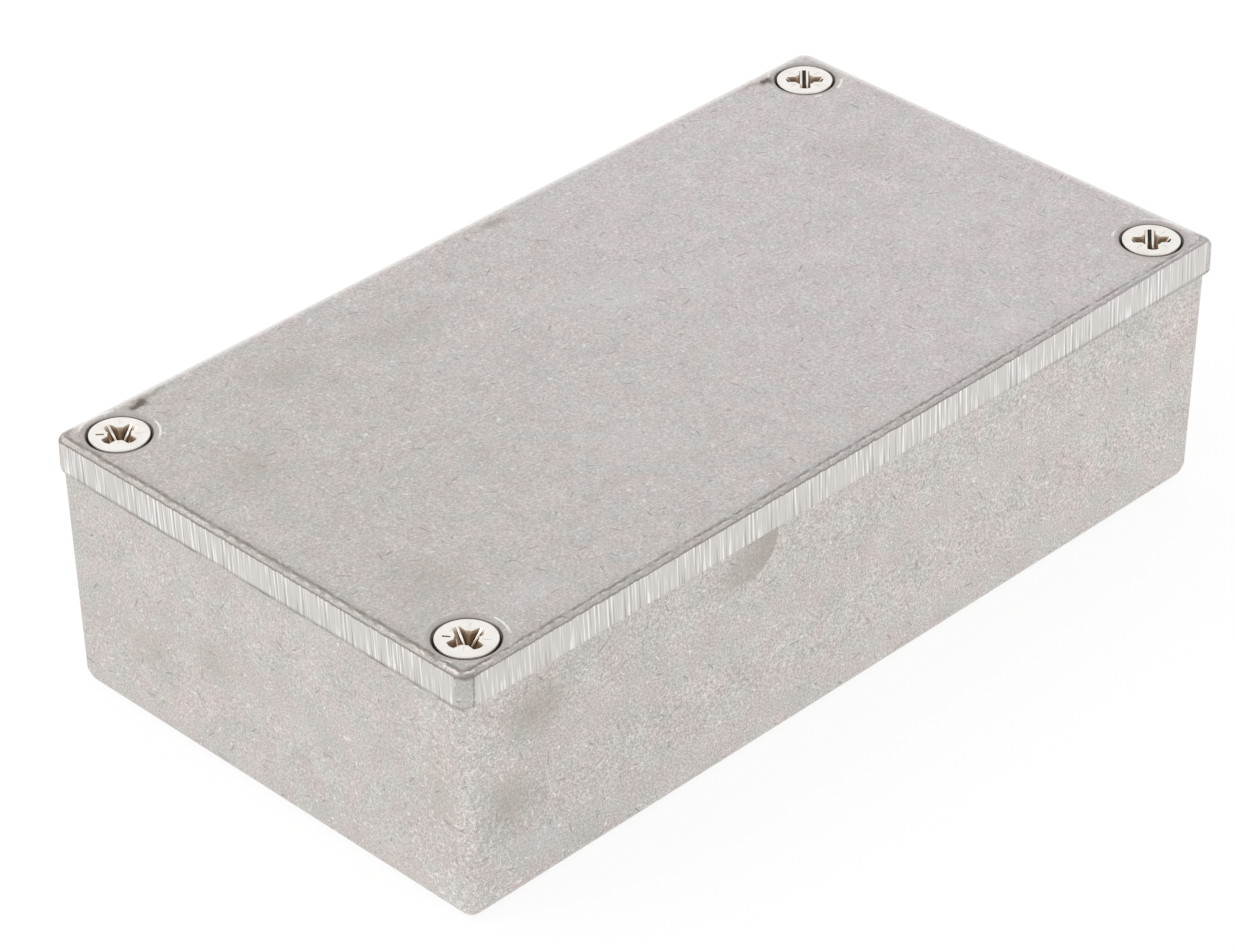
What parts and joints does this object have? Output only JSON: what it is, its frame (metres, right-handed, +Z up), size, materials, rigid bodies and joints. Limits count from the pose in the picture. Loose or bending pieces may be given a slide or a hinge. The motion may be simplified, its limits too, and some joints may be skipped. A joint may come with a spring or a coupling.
{
  "type": "die cast aluminium box",
  "caption": "Rectangular die cast aluminium enclosure: a drafted open box closed by a flat lid with countersunk corner screws.",
  "frame": {"origin": "centre of the underside of the box", "axes": "+X along the length, +Y along the width, +Z up through the lid"},
  "size_m": [0.1124, 0.0604, 0.031],
  "materials": {
    "cast_box": "as cast, fine tumbled grain, satin",
    "cast_lid": "as cast and tumbled, with linished sides",
    "screw_nickel": "bright nickel plate"
  },
  "bodies": {
    "box": {"box": "cast_box"},
    "lid": {"lid": "cast_lid"},
    "screws": {"lid_screws": "screw_nickel"}
  },
  "joints": [
    {"name": "lid_lift", "type": "slide", "parent": "box", "child": "lid", "axis": [0, 0, 1], "range_m": [0, 0.04]},
    {"name": "screws_back_out", "type": "slide", "parent": "lid", "child": "screws", "axis": [0, 0, 1], "range_m": [0, 0.012]}
  ]
}
